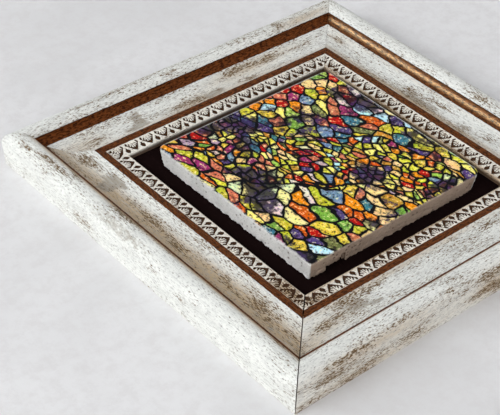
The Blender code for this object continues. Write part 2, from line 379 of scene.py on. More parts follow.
class FinishSettings(bpy.types.PropertyGroup):
    """Colours of the finishes."""

    paint: FloatVectorProperty(
        name="Paint", description="Off-white paint", subtype="COLOR", default=(0.84, 0.845, 0.805)
    )
    # Also used for painted shade along the foot of the roll, in the scoops and on the lip's inner wall
    stain: FloatVectorProperty(
        name="Stain", description="Beige tone in the paint", subtype="COLOR", default=(0.55, 0.415, 0.265)
    )
    scuff: FloatVectorProperty(
        name="Scuff", description="Grey-brown scuffed paint", subtype="COLOR", default=(0.345, 0.30, 0.24)
    )
    veil: FloatVectorProperty(
        name="Veil", description="Grey veils in the paint", subtype="COLOR", default=(0.43, 0.43, 0.42)
    )
    undercoat: FloatVectorProperty(
        name="Undercoat",
        description="Grey that shows in streaks and specks where the paint is sound",
        subtype="COLOR",
        default=(0.38, 0.38, 0.37),
    )
    haze: FloatVectorProperty(
        name="Haze",
        description="Brown that shows in streaks and specks where the paint is worn",
        subtype="COLOR",
        default=(0.36, 0.26, 0.145),
    )
    bare_wood: FloatVectorProperty(
        name="Bare wood",
        description="Brown where the paint is gone",
        subtype="COLOR",
        default=(0.092, 0.050, 0.019),
    )
    brown: FloatVectorProperty(
        name="Brown",
        description="Brown of the cove and fillet",
        subtype="COLOR",
        default=(0.172, 0.0475, 0.0112),
    )
    # Also the painted shade along the cove's upper edge
    brown_dark: FloatVectorProperty(
        name="Dark brown",
        description="Darkest tone of the cove, the fillet and the leaf band's ground",
        subtype="COLOR",
        default=(0.026, 0.007, 0.0025),
    )
    # Also the painted shade low on the lip's inner wall
    ground: FloatVectorProperty(
        name="Ground",
        description="Ground of the leaf band, and dirt on the lip",
        subtype="COLOR",
        default=(0.080, 0.033, 0.013),
    )
    board: FloatVectorProperty(
        name="Board",
        description="Black front of the board",
        subtype="COLOR",
        default=(0.009, 0.0045, 0.0045),
    )
    stone: FloatVectorProperty(
        name="Stone", description="Pale stone of the tile", subtype="COLOR", default=(0.72, 0.705, 0.68)
    )
    # Painted shade that darkens and browns the tile's left side
    left_side_shade: FloatVectorProperty(
        name="Brown stone",
        description="Tint of the tile's left side",
        subtype="COLOR",
        default=(0.62, 0.48, 0.385),
    )


class TileSettings(bpy.types.PropertyGroup):
    """Fineness of the tile and scale of its generic leaded-glass print."""

    rim_steps: IntProperty(name="Rim steps", description="Segments along each side", default=280, min=8)
    side_rows: IntProperty(name="Side rows", description="Segments down its sides", default=26, min=4)
    small_cell: FloatProperty(
        name="Small cell", description="Size of the print's small pieces", default=3.5 * MM, unit="LENGTH"
    )
    large_cell: FloatProperty(
        name="Large cell", description="Size of the print's large pieces", default=6.0 * MM, unit="LENGTH"
    )
    lead_line: FloatProperty(
        name="Lead line", description="Half width of the dark lines", default=0.46 * MM, unit="LENGTH"
    )


class StudioSettings(bpy.types.PropertyGroup):
    """Camera and light."""

    camera_place: FloatVectorProperty(
        name="Camera place",
        description="Camera's place from the plaque's centre",
        size=3,
        subtype="TRANSLATION",
        default=(-376.05 * MM, -409.46 * MM, 371.78 * MM),
    )
    camera_turn: FloatVectorProperty(
        name="Camera turn",
        description="Camera's turn about X, Y and Z",
        size=3,
        subtype="EULER",
        default=tuple(math.radians(angle) for angle in (-36.546, 49.842, -177.178)),
    )
    lens: FloatProperty(name="Lens", description="Focal length in millimetres", default=106.7)
    key_power: FloatProperty(
        name="Key power", description="Power of the key light", default=23.2, unit="POWER"
    )
    gloss_power: FloatProperty(
        name="Gloss power", description="Power of the gloss light", default=205.0, unit="POWER"
    )
    fill_power: FloatProperty(
        name="Fill power", description="Power of the fill light", default=13.0, unit="POWER"
    )
    sky_strength: FloatProperty(
        name="Sky strength", description="Strength of the ambient light", default=0.45
    )
    sky: FloatVectorProperty(
        name="Sky", description="Ambient light", subtype="COLOR", default=(0.95, 0.975, 1.0)
    )
    surround: FloatVectorProperty(
        name="Surround", description="Colour of wall and floor", subtype="COLOR", default=(0.83, 0.825, 0.83)
    )


# ---------------------------------------------------------------- shader helpers


def is_socket(value):
    """Whether a value is a socket to link, and not a plain number or colour."""
    return isinstance(value, bpy.types.NodeSocket)


def connect(tree, node, inputs):
    """Set a node's inputs to values, or link them to sockets."""
    for key, value in inputs.items():
        if is_socket(value):
            tree.links.new(value, node.inputs[key])
        else:
            node.inputs[key].default_value = value


def add_node(tree, kind, inputs=None, **settings):
    """New shader node with its settings and its inputs."""
    made = tree.nodes.new(kind)
    for name, value in settings.items():
        setattr(made, name, value)
    connect(tree, made, inputs or {})
    return made


def new_material(name):
    """Material with a bare Principled BSDF, and its tree and shader."""
    material = bpy.data.materials.new(name)
    material.use_nodes = True
    tree = material.node_tree
    return material, tree, tree.nodes["Principled BSDF"]


def object_place(tree):
    """Place on the piece, in the object's own metres."""
    return add_node(tree, "ShaderNodeTexCoord").outputs["Object"]


def attribute(tree, name, output="Fac"):
    """A value, or with "Vector" three of them, that the piece's points carry."""
    made = add_node(tree, "ShaderNodeAttribute", attribute_name=name, attribute_type="GEOMETRY")
    return made.outputs[output]


def parts_of(tree, vector):
    """X, Y and Z of a vector."""
    return add_node(tree, "ShaderNodeSeparateXYZ", {0: vector}).outputs.values()


def maths(tree, operation, first, second=0.0, third=0.0, clamp=False):
    """Result of one Math node; each value is a number or a socket."""
    inputs = {0: first, 1: second, 2: third}
    return add_node(tree, "ShaderNodeMath", inputs, operation=operation, use_clamp=clamp).outputs[0]


def times(tree, first, second, clamp=False):
    return maths(tree, "MULTIPLY", first, second, clamp=clamp)


def less(tree, first, second):
    return maths(tree, "SUBTRACT", first, second)


def linear(tree, value, factor, offset=0.0):
    """value times factor plus offset."""
    return maths(tree, "MULTIPLY_ADD", value, factor, offset)


def between(tree, factor, first, second):
    """The number first where factor is 0 and second where it is 1."""
    return linear(tree, factor, second - first, first)


def step_up(tree, value, low, high):
    """0 below low, 1 above high and smooth between; with low above high it runs the other way."""
    inputs = {"Value": value, "From Min": low, "From Max": high, "To Min": 0.0, "To Max": 1.0}
    return add_node(tree, "ShaderNodeMapRange", inputs, interpolation_type="SMOOTHSTEP").outputs["Result"]


def toned(colour, strength):
    """Colour made darker or lighter."""
    return [strength * part for part in colour]


def mixed(tree, factor, first, second, blend="MIX"):
    """Colour between first and second; either may be a plain colour."""
    first, second = (value if is_socket(value) else (*value[:3], 1.0) for value in (first, second))
    # A Mix node keeps its colours in inputs 6 and 7 and in output 2
    inputs = {0: factor, 6: first, 7: second}
    return add_node(tree, "ShaderNodeMix", inputs, data_type="RGBA", blend_type=blend).outputs[2]


def scaled(tree, vector, scale, shift=(0.0, 0.0, 0.0)):
    """Vector scaled by one number, or by one for each axis, and then shifted."""
    scale = scale if isinstance(scale, tuple) else (scale, scale, scale)
    inputs = {"Vector": vector, "Location": shift, "Scale": scale}
    return add_node(tree, "ShaderNodeMapping", inputs, vector_type="POINT").outputs[0]


def cloud(tree, vector, scale, shift=(0.0, 0.0, 0.0), output="Fac", **looks):
    """Soft noise of 0 to 1 on a scaled, shifted vector; looks are its detail, roughness and distortion."""
    inputs = {"Vector": scaled(tree, vector, scale, shift), "Scale": 1.0, "Detail": 3.0}
    inputs.update({name.title(): value for name, value in looks.items()})
    return add_node(tree, "ShaderNodeTexNoise", inputs).outputs[output]


def palette(tree, factor, colours):
    """Colour picked by factor from an even row of colours."""
    made = add_node(tree, "ShaderNodeValToRGB", {"Fac": factor})
    ramp = made.color_ramp
    ramp.interpolation = "CONSTANT"
    while len(ramp.elements) < len(colours):
        ramp.elements.new(0.5)
    for index, colour in enumerate(colours):
        ramp.elements[index].position = index / len(colours)
        ramp.elements[index].color = (*colour, 1.0)
    return made.outputs["Color"]


def bumped(tree, height, distance, strength):
    """Normal of a surface that is raised by the distance, in metres, where the height is 1."""
    inputs = {"Height": height, "Distance": distance, "Strength": strength}
    return add_node(tree, "ShaderNodeBump", inputs).outputs["Normal"]


def flecks_group():
    """Shared group: flecks of a given size and share, stretched along the vector's first axis."""
    name = "Flecks"
    if name in bpy.data.node_groups:
        return bpy.data.node_groups[name]
    tree = bpy.data.node_groups.new(name, "ShaderNodeTree")
    tree.interface.new_socket("Vector", in_out="INPUT", socket_type="NodeSocketVector")
    for key, value in (("Stretch", 4.0), ("Fineness", 1.0), ("Share", 0.3), ("Softness", 0.05)):
        socket = tree.interface.new_socket(key, in_out="INPUT", socket_type="NodeSocketFloat")
        socket.default_value = value
    tree.interface.new_socket("Mask", in_out="OUTPUT", socket_type="NodeSocketFloat")
    start = add_node(tree, "NodeGroupInput").outputs
    x, y, z = parts_of(tree, start["Vector"])
    along = maths(tree, "DIVIDE", x, start["Stretch"])
    joined = add_node(tree, "ShaderNodeCombineXYZ", {"X": along, "Y": y, "Z": z}).outputs[0]
    inputs = {"Vector": joined, "Scale": start["Fineness"], "Detail": 4.0, "Roughness": 0.62}
    field = add_node(tree, "ShaderNodeTexNoise", inputs).outputs["Fac"]
    # The share of 0 to 1 becomes a threshold in the noise's own spread of about 0.3 to 0.7
    level = linear(tree, start["Share"], -0.4, 0.7)
    mask = maths(tree, "DIVIDE", less(tree, field, level), start["Softness"], clamp=True)
    add_node(tree, "NodeGroupOutput", {"Mask": mask})
    return tree


def flecks(tree, vector, stretch, fineness, share, softness):
    """Mask of flecks from the shared group."""
    inputs = {"Vector": vector, "Stretch": stretch, "Fineness": fineness}
    inputs.update({"Share": share, "Softness": softness})
    return add_node(tree, "ShaderNodeGroup", inputs, node_tree=flecks_group()).outputs["Mask"]


# ---------------------------------------------------------------- moulding section


ROLL_STEPS = 16
LIP_STEPS = 6
COVE_STEPS = 5
SCOOP_STEPS = 12
# How far round from its outer side the roll goes before it meets the cove, in degrees
ROLL_END = 142.0


def arc(centre, radius, start, end, steps):
    """Points of an arc from start to end, in degrees."""
    points = []
    for step in range(steps + 1):
        angle = math.radians(start + (end - start) * step / steps)
        points.append(Vector((centre[0] + radius * math.cos(angle), centre[1] + radius * math.sin(angle))))
    return points


def sagging_arc(start, end, depth, steps):
    """Points of the arc from start to end that hangs below its chord by depth."""
    first, last = Vector(start), Vector(end)
    chord = last - first
    below = Vector((-chord.y, chord.x)).normalized()
    radius = (chord.length**2 / 4 + depth**2) / (2 * depth)
    centre = (first + last) / 2 - below * (radius - depth)
    half = math.asin(chord.length / (2 * radius))
    points = []
    for step in range(steps + 1):
        angle = half * (2 * step / steps - 1)
        points.append(centre + radius * (math.cos(angle) * below + math.sin(angle) * chord.normalized()))
    return points


def straight(start, end, steps):
    """Points of a straight stretch, both ends among them."""
    first, last = Vector(start), Vector(end)
    return [first.lerp(last, step / steps) for step in range(steps + 1)]


def moulding_section(sizes):
    """The section as named stretches in order, from the rebate over the back and the front to its ledge."""
    roll = arc(sizes.roll_centre, sizes.roll_radius, 0.0, ROLL_END, ROLL_STEPS)
    lip = arc(sizes.lip_centre, sizes.lip_radius, 90.0, 180.0, LIP_STEPS)
    inner = sizes.lip_centre[0] - sizes.lip_radius
    lip_foot = Vector((inner, sizes.lip_underside))
    rebate_top = Vector((sizes.rebate, sizes.lip_underside))
    back_edge = Vector((sizes.back_outer, 0.0))
    return {
        "back": [rebate_top, Vector((sizes.rebate, 0.0)), back_edge],
        "side": straight(back_edge, roll[0], 4),
        "roll": roll + [Vector(sizes.cove_top)],
        "cove": sagging_arc(sizes.cove_top, sizes.cove_bottom, sizes.cove_depth, COVE_STEPS),
        "scoop": sagging_arc(sizes.cove_bottom, sizes.fillet_outer, sizes.scoop_depth, SCOOP_STEPS),
        "fillet": straight(sizes.fillet_outer, sizes.fillet_inner, 3),
        "band": straight(sizes.fillet_inner, sizes.lip_outer, sizes.band_rows),
        "lip": [Vector(sizes.lip_outer), *lip, lip_foot],
        "ledge": [lip_foot, rebate_top],
    }


def section_rows(sizes):
    """One row per point of the closed section (stretch, place, millimetres across) and each stretch's ends.

    The way across is 0 where the outer side starts, and less than 0 on the back.
    """
    rows = []
    ends = {}
    travelled = -(sizes.lip_underside + sizes.back_outer - sizes.rebate) / MM
    for stretch, points in moulding_section(sizes).items():
        start = travelled
        for place in points:
            step = (place - rows[-1][1]).length / MM if rows else 1.0
            if rows:
                travelled += step
            # A stretch starts where the last one ends, and that place gets one row alone
            if step > 0.001:
                rows.append((stretch, place, travelled))
        ends[stretch] = (start, travelled)
    return rows, ends


def smooth_step(low, high, value):
    """0 below low, 1 above high and smooth between; with low above high it runs the other way."""
    share = min(max((value - low) / (high - low), 0.0), 1.0)
    return share * share * (3.0 - 2.0 * share)


def taper_distance(x, y, start, end, start_radius, end_radius):
    """Signed distance from a point to a stroke that runs from start to end and changes its radius."""
    run_x = end[0] - start[0]
    run_y = end[1] - start[1]
    share = ((x - start[0]) * run_x + (y - start[1]) * run_y) / (run_x * run_x + run_y * run_y)
    share = min(max(share, 0.0), 1.0)
    away = math.hypot(x - start[0] - share * run_x, y - start[1] - share * run_y)
    return away - start_radius - (end_radius - start_radius) * share


# Hollows of one leaf motif in millimetres, from the leaf's middle and from the fillet: (start, end, radius
# at the start, radius at the end, depth as a share of the relief). Both halves mirror each other.
HALF_PITCH = LEAF_PITCH / 2
LEAF_HOLLOWS = (
    ((HALF_PITCH, 3.1), (HALF_PITCH, 4.9), 0.22, 0.84, 1.0),
    ((HALF_PITCH, 5.05), (HALF_PITCH, 5.45), 1.20, 1.06, 1.0),
    ((0.0, 5.25), (0.0, 5.75), 0.94, 0.70, 1.0),
    ((0.5, 5.1), (1.7, 3.85), 0.76, 0.50, 1.0),
    ((1.75, 3.8), (2.8, 2.5), 0.40, 0.30, 0.9),
    ((3.05, 1.8), (2.75, 0.9), 0.56, 0.46, 1.0),
    ((2.1, 2.9), (1.35, 1.5), 0.38, 0.22, 1.0),
    ((1.4, 4.0), (0.85, 2.7), 0.34, 0.20, 1.0),
    ((0.0, 1.3), (0.0, 4.6), 0.14, 0.26, 0.9),
)
# A hollow's wall falls from this far outside its outline to this far inside it, in millimetres
WALL_OUTSIDE = 0.10
WALL_INSIDE = 0.18


def leaf_hollow(along, across, pitch):
    """Depth of the leaf band's carving, as a share of its relief, at a place in millimetres."""
    x = abs((along % pitch) - pitch / 2)
    deepest = 0.0
    for start, end, start_radius, end_radius, depth in LEAF_HOLLOWS:
        edge = taper_distance(x, across, start, end, start_radius, end_radius)
        deepest = max(deepest, depth * smooth_step(WALL_OUTSIDE, -WALL_INSIDE, edge))
    return deepest


def wear_at(side, along, across):
    """Amount of each kind of wear, and of the stain and painted shade, at a place on a rail; 1 is fully
    worn.
    """
    amounts = []
    for kind in WEAR_KINDS:
        amount = 0.0
        for at, over, length, width, strength in WEAR[side][kind]:
            far = ((along - at) / length) ** 2 + ((across - over) / width) ** 2
            # Beyond this a mark has faded to nothing
            if far < 6.0:
                amount += strength * math.exp(-far)
        amounts.append(amount)
    return amounts


# The mitres gape at the front, from this height on, and are nearly closed at the back
MITRE_OPEN_HEIGHT = 5.0 * MM
MITRE_BACK_SHARE = 0.1
# The order of a rail's materials
PAINTED, RAW, MITRE = range(3)


def close_shell(form, seam):
    """Join a wrapped grid along its seam, fill its open ends and turn its faces out; returns the fill."""
    rim = [vert for vert in form.verts if vert.is_boundary]
    bmesh.ops.remove_doubles(form, verts=rim, dist=seam)
    open_edges = [edge for edge in form.edges if edge.is_boundary]
    caps = bmesh.ops.holes_fill(form, edges=open_edges, sides=0)["faces"]
    bmesh.ops.recalc_face_normals(form, faces=form.faces)
    return caps


def finish_piece(name, form, materials, sharp_angle=None):
    """Turn a bmesh into a linked object at the origin with its materials."""
    mesh = bpy.data.meshes.new(name)
    form.to_mesh(mesh)
    form.free()
    for material in materials:
        mesh.materials.append(material)
    if sharp_angle is not None:
        mesh.set_sharp_from_angle(angle=math.radians(sharp_angle))
    piece = bpy.data.objects.new(name, mesh)
    bpy.context.scene.collection.objects.link(piece)
    return piece


def build_rail(side, materials):
    """One mitred rail: a grid wrapped round the section, with the leaf band carved by moving its points."""
    scene = bpy.context.scene
    sizes = scene.plaque_moulding
    leaves = scene.plaque_leaf_band
    rows, ends = section_rows(sizes)
    index = list(RAIL_TURNS).index(side)
    pitch = leaves.pitch / MM
    shift = leaves.shifts[index] / MM
    band_run = (Vector(sizes.lip_outer) - Vector(sizes.fillet_inner)).normalized()
    band_fall = Vector((band_run.y, -band_run.x)) * leaves.relief
    turn = Matrix.Rotation(math.radians(RAIL_TURNS[side]), 3, "Y")
    # Sets each rail's grain apart from the others'
    seed = index * 40.0

    form = bmesh.new()
    bmesh.ops.create_grid(form, x_segments=sizes.slices, y_segments=len(rows) - 1, size=0.5)
    places = form.verts.layers.float_vector.new("moulding")
    wears = form.verts.layers.float_vector.new("wear")
    hollows = form.verts.layers.float.new("hollow")
    for vert in form.verts:
        share = 2.0 * vert.co.x
        stretch, place, across = rows[round((vert.co.y + 0.5) * (len(rows) - 1))]
        gap = sizes.mitre_gaps[index if share > 0.0 else index - 1]
        opened = smooth_step(0.0, MITRE_OPEN_HEIGHT, place.y)
        gap *= MITRE_BACK_SHARE + (1.0 - MITRE_BACK_SHARE) * opened
        along = share * (place.x - gap * math.sqrt(0.5)) / MM
        hollow = 0.0
        if stretch == "band":
            hollow = leaf_hollow(along - shift, across - ends["band"][0], pitch)
            place = place - band_fall * hollow
        vert[places] = (along, across, seed)
        vert[wears] = wear_at(side, along, across)
        vert[hollows] = hollow * leaves.grounds[index]
        vert.co = turn @ Vector((along * MM, -place.y, place.x)) + CENTRE
    for face in form.faces:
        face.smooth = True
        middle = sum(vert[places].y for vert in face.verts) / len(face.verts)
        face.material_index = PAINTED if ends["side"][0] < middle < ends["lip"][1] else RAW
    # The end faces in the mitres take the nearly black wood: painted shade in the gaps
    for face in close_shell(form, 0.01 * MM):
        face.material_index = MITRE
    return finish_piece(f"moulding_{side}", form, materials, sharp_angle=38.0)


# ---------------------------------------------------------------- finishes of the mouldings


BAND_TINT = (1.09, 1.02, 0.95)
PAINT_ROUGHNESS = 0.9
BROWN_ROUGHNESS = 0.37
RAW_WOOD = (0.50, 0.33, 0.19)
RAW_WOOD_GRAIN = (0.30, 0.17, 0.085)
RAW_WOOD_PORES = (0.14, 0.075, 0.035)


def aged_paint(tree, place, streaky, scuffed, stain_and_shade):
    """Colour of the paint: soft clouds, the beige stain and painted shade in streaks, and scuffed blotches.
    """
    colours = bpy.context.scene.plaque_finish
    broad = cloud(tree, place, (0.05, 0.14, 1.0))
    tone = mixed(tree, step_up(tree, broad, 0.40, 0.68), colours.paint, toned(colours.paint, 0.90))
    streaked = linear(tree, step_up(tree, streaky, 0.25, 0.62), 0.5, 0.55)
    # The beige here is partly real stain and partly painted shade
    tone = mixed(tree, times(tree, stain_and_shade, streaked, clamp=True), tone, colours.stain)
    # The blotches have ragged outlines
    ragged = cloud(tree, place, (0.30, 0.5, 1.0), detail=6.0, roughness=0.7)
    scuffs = step_up(tree, linear(tree, ragged, 1.2, scuffed), 0.96, 1.30)
    scuffs = times(tree, scuffs, linear(tree, step_up(tree, streaky, 0.30, 0.62), 0.35, 0.62))
    return mixed(tree, scuffs, tone, colours.scuff)


def worn_share(tree, place, flecked):
    """How worn the paint is: patches within patches, and more where the wear is marked."""
    wide = cloud(tree, place, (0.035, 0.13, 1.0), (7.0, 3.0, 0.0), detail=2.0)
    narrow = cloud(tree, place, (0.20, 0.65, 1.0), (1.0, 9.0, 0.0), detail=4.0, roughness=0.6)
    level = linear(tree, step_up(tree, wide, 0.36, 0.64), 0.62, flecked)
    return step_up(tree, linear(tree, narrow, 1.5, level), 0.55, 2.1)


def worn_paint(tree, place, streaky, worn, tone):
    """The paint with its veils, streaks, specks and grain lines, and a mask of the bare wood."""
    colours = bpy.context.scene.plaque_finish
    veil = cloud(tree, place, (0.26, 1.0, 1.0), (2.0, 6.0, 0.0), detail=5.0, roughness=0.7)
    veil = times(tree, step_up(tree, veil, 0.46, 0.68), linear(tree, worn, 0.30, 0.50))
    tone = mixed(tree, veil, tone, colours.veil)

    # Short streaks along the grain and specks; what shows is grey where the paint is sound, brown where worn
    streaks = cloud(tree, place, (0.42, 1.7, 1.0), detail=1.5, roughness=0.6)
    specks = cloud(tree, place, (0.80, 2.3, 1.0), (5.0, 2.0, 0.0), detail=1.5, roughness=0.6)
    shown = linear(tree, worn, 0.30, maths(tree, "ADD", streaks, specks))
    thin = times(tree, step_up(tree, shown, 1.03, 1.31), 0.66)
    tone = mixed(tree, thin, tone, mixed(tree, worn, colours.undercoat, colours.haze))
    bare = times(tree, step_up(tree, shown, 1.215, 1.355), 0.93)
    bare_tone = mixed(tree, streaky, colours.bare_wood, toned(colours.bare_wood, 2.0))
    tone = mixed(tree, bare, tone, bare_tone)

    # Long thin lines of the grain, mostly where the paint is worn
    shifted = scaled(tree, place, 1.0, (31.0, 17.0, 0.0))
    lines = flecks(tree, shifted, 12.0, 2.6, linear(tree, worn, 0.28, 0.14), 0.06)
    tone = mixed(tree, times(tree, lines, 0.66), tone, toned(colours.scuff, 0.45))
    return tone, bare


def brown_stretches(tree, across, wavering, stain_and_shade, grain, ends):
    """Brown of the cove and fillet with painted shade on the cove's upper edge, and a mask of where they
    are.
    """
    colours = bpy.context.scene.plaque_finish
    wavering = less(tree, linear(tree, wavering, 0.5, across), 0.25)
    stretches = []
    # The brown of the cove starts a little early, and earlier yet where the stain and painted shade lie
    for stretch, early, spread in (("cove", 0.22, 0.25), ("fillet", 0.0, 0.0)):
        start, end = ends[stretch]
        begun = linear(tree, stain_and_shade, spread, wavering)
        into = step_up(tree, begun, start - early - 0.08, start - early + 0.08)
        out = step_up(tree, wavering, end + 0.20, end + 0.04)
        stretches.append(times(tree, into, out))
    brown = mixed(tree, step_up(tree, grain, 0.37, 0.61), colours.brown_dark, colours.brown)
    # Painted shade: the valley along the cove's upper edge is darkened towards the dark brown
    upper_edge = step_up(tree, wavering, ends["cove"][0] + 0.5, ends["cove"][0])
    valley_shade = times(tree, upper_edge, linear(tree, stain_and_shade, 0.4, 0.55), clamp=True)
    return mixed(tree, valley_shade, brown, colours.brown_dark), maths(tree, "MAXIMUM", *stretches)


def paint_material():
    """Distressed off-white paint with the brown cove and fillet and the dark ground of the leaf band."""
    scene = bpy.context.scene
    colours = scene.plaque_finish
    ends = section_rows(scene.plaque_moulding)[1]
    material, tree, shader = new_material("distressed paint")
    place = attribute(tree, "moulding", "Vector")
    across = parts_of(tree, place)[1]
    # The third part is the beige stain and painted shade
    flecked, scuffed, stain_and_shade = parts_of(tree, attribute(tree, "wear", "Vector"))
    hollow = attribute(tree, "hollow")
    streaky = cloud(tree, place, (0.11, 0.9, 1.0), detail=6.0, roughness=0.65)
    tone = aged_paint(tree, place, streaky, scuffed, stain_and_shade)
    worn = worn_share(tree, place, flecked)
    tone, bare = worn_paint(tree, place, streaky, worn, tone)

    # The leaf band and its lip are a warmer tone than the rest
    band_start = ends["band"][0]
    warm = step_up(tree, across, band_start - 0.1, band_start + 0.1)
    tone = mixed(tree, times(tree, warm, 0.8), tone, BAND_TINT, blend="MULTIPLY")

    # Painted shade low on the lip's inner wall, darker towards the board
    lip_end = ends["lip"][1]
    low = step_up(tree, across, lip_end - 2.9, lip_end - 1.1)
    tone = mixed(tree, times(tree, low, 0.92), tone, colours.ground)

    # Brown cove and fillet, with an edge that wavers a little
    wavering = cloud(tree, place, (0.6, 0.2, 1.0))
    grain = cloud(tree, place, (0.42, 1.2, 1.0), (3.0, 0.0, 0.0), roughness=0.75)
    brown, brown_share = brown_stretches(tree, across, wavering, stain_and_shade, grain, ends)
    tone = mixed(tree, brown_share, tone, brown)

    # The leaf band's hollows keep their dark ground, and are darkened with the beige tone from their shallow
    # edges in
    hollow_darkening = times(tree, step_up(tree, hollow, 0.05, 0.35), 0.30)
    tone = mixed(tree, hollow_darkening, tone, colours.stain, blend="MULTIPLY")
    ground = mixed(tree, grain, colours.brown_dark, colours.ground)
    tone = mixed(tree, step_up(tree, hollow, 0.10, 0.36), tone, ground)

    # Brush marks, and bare wood that lies a little lower than the paint
    brushed = flecks(tree, place, 9.0, 3.0, 0.45, 0.3)
    height = linear(tree, brushed, 0.5, times(tree, bare, -1.0))
    looks = {
        "Base Color": tone,
        "Roughness": between(tree, brown_share, PAINT_ROUGHNESS, BROWN_ROUGHNESS),
        "Metallic": times(tree, brown_share, 0.35),
        "Specular IOR Level": 0.12,
        "Specular Tint": (1.0, 0.70, 0.42, 1.0),
        "Normal": bumped(tree, height, 0.06 * MM, 0.8),
    }
    connect(tree, shader, looks)
    return material


def raw_wood_material(name, strength):
    """Unpainted wood; at full strength as on the back and in the rebate, and darker at less."""
    material, tree, shader = new_material(name)
    place = attribute(tree, "moulding", "Vector")
    grain = cloud(tree, place, (0.05, 0.9, 1.0), detail=6.0, roughness=0.6)
    light, dark = toned(RAW_WOOD, strength), toned(RAW_WOOD_GRAIN, strength)
    tone = mixed(tree, step_up(tree, grain, 0.35, 0.68), light, dark)
    pores = flecks(tree, place, 12.0, 2.6, 0.22, 0.06)
    tone = mixed(tree, times(tree, pores, 0.5), tone, RAW_WOOD_PORES)
    looks = {"Base Color": tone, "Roughness": 0.75, "Normal": bumped(tree, grain, 0.08 * MM, 0.6)}
    connect(tree, shader, looks)
    return material


# ---------------------------------------------------------------- finish of the board


HARDBOARD = (0.27, 0.17, 0.09)
HARDBOARD_LIGHT = (0.42, 0.29, 0.17)
HARDBOARD_FIBRES = (0.17, 0.10, 0.055)


def board_material():
    """Backing board: matt black paper on the front, brown hardboard on the back."""
    colours = bpy.context.scene.plaque_finish
    material, tree, shader = new_material("backing board")
    place = object_place(tree)
    behind = step_up(tree, parts_of(tree, place)[1], BOARD_MIDDLE.y, BOARD_MIDDLE.y + 0.2 * MM)
    fibres = flecks(tree, scaled(tree, place, 1.0 / MM), 3.0, 0.9, 0.35, 0.2)
    black = mixed(tree, fibres, colours.board, toned(colours.board, 1.7))
    brown = mixed(tree, cloud(tree, place, 90.0, detail=5.0), HARDBOARD, HARDBOARD_LIGHT)
    brown = mixed(tree, times(tree, fibres, 0.4), brown, HARDBOARD_FIBRES)
    looks = {
        "Base Color": mixed(tree, behind, black, brown),
        "Roughness": 0.85,
        "Specular IOR Level": 0.0,
        "Normal": bumped(tree, fibres, 0.03 * MM, 0.5),
    }
    connect(tree, shader, looks)
    return material


# ---------------------------------------------------------------- finish of the tile


WARM_GLASS = (
    (0.68, 0.53, 0.08),
    (0.60, 0.12, 0.03),
    (0.82, 0.74, 0.20),
    (0.74, 0.26, 0.03),
    (0.50, 0.48, 0.05),
    (0.45, 0.02, 0.02),
    (0.76, 0.55, 0.25),
    (0.50, 0.26, 0.05),
    (0.55, 0.17, 0.10),
    (0.68, 0.65, 0.08),
)
COOL_GLASS = (
    (0.17, 0.33, 0.06),
    (0.38, 0.27, 0.36),
    (0.60, 0.66, 0.40),
    (0.05, 0.17, 0.22),
    (0.45, 0.66, 0.72),
    (0.08, 0.05, 0.17),
    (0.74, 0.68, 0.28),
    (0.31, 0.04, 0.13),
    (0.15, 0.23, 0.35),
    (0.31, 0.46, 0.09),
    (0.67, 0.55, 0.52),
    (0.14, 0.16, 0.05),
)
GLASS_LIGHT = (0.93, 0.84, 0.42)
GLASS_SHADE = (0.035, 0.022, 0.015)
GLASS_POOL = (0.02, 0.01, 0.01)
INK_BLACK = (0.010, 0.006, 0.012)
INK_VIOLET = (0.05, 0.02, 0.12)
LEAD = (0.003, 0.002, 0.003)
# The stream of small pieces: half its width, how far it swings, and its swings in radians a metre
STREAM_HALF = 17.0 * MM
STREAM_SWING = 9.0 * MM
STREAM_PACE = 70.0
STONE_LIGHT_GRAINS = (0.84, 0.83, 0.82)
STONE_DARK_GRAINS = (0.30, 0.27, 0.24)
STONE_PITS = (0.085, 0.055, 0.04)
STONE_ROUGHNESS = 0.9
PRINT_ROUGHNESS = 0.5


def wavered(tree, vector, scale, amount):
    """Vector moved about by slow noise, so that lines drawn on it waver."""
    drift = cloud(tree, vector, scale, detail=1.5, output="Color")
    centred = add_node(tree, "ShaderNodeVectorMath", {0: drift, 1: (0.5, 0.5, 0.5)}, operation="SUBTRACT")
    inputs = {0: centred.outputs[0], "Scale": amount}
    moved = add_node(tree, "ShaderNodeVectorMath", inputs, operation="SCALE").outputs[0]
    return add_node(tree, "ShaderNodeVectorMath", {0: vector, 1: moved}, operation="ADD").outputs[0]


def cells(tree, vector, size):
    """Pieces of glass of about one size: distance to the nearest edge in metres, and two random numbers."""
    common = {"Vector": scaled(tree, vector, 1.0 / size), "Scale": 1.0, "Randomness": 0.95}
    rim = add_node(tree, "ShaderNodeTexVoronoi", common, voronoi_dimensions="2D", feature="DISTANCE_TO_EDGE")
    core = add_node(tree, "ShaderNodeTexVoronoi", common, voronoi_dimensions="2D", feature="F1")
    chances = add_node(tree, "ShaderNodeSeparateColor", {0: core.outputs["Color"]}).outputs
    return times(tree, rim.outputs["Distance"], size), chances["Red"], chances["Green"]


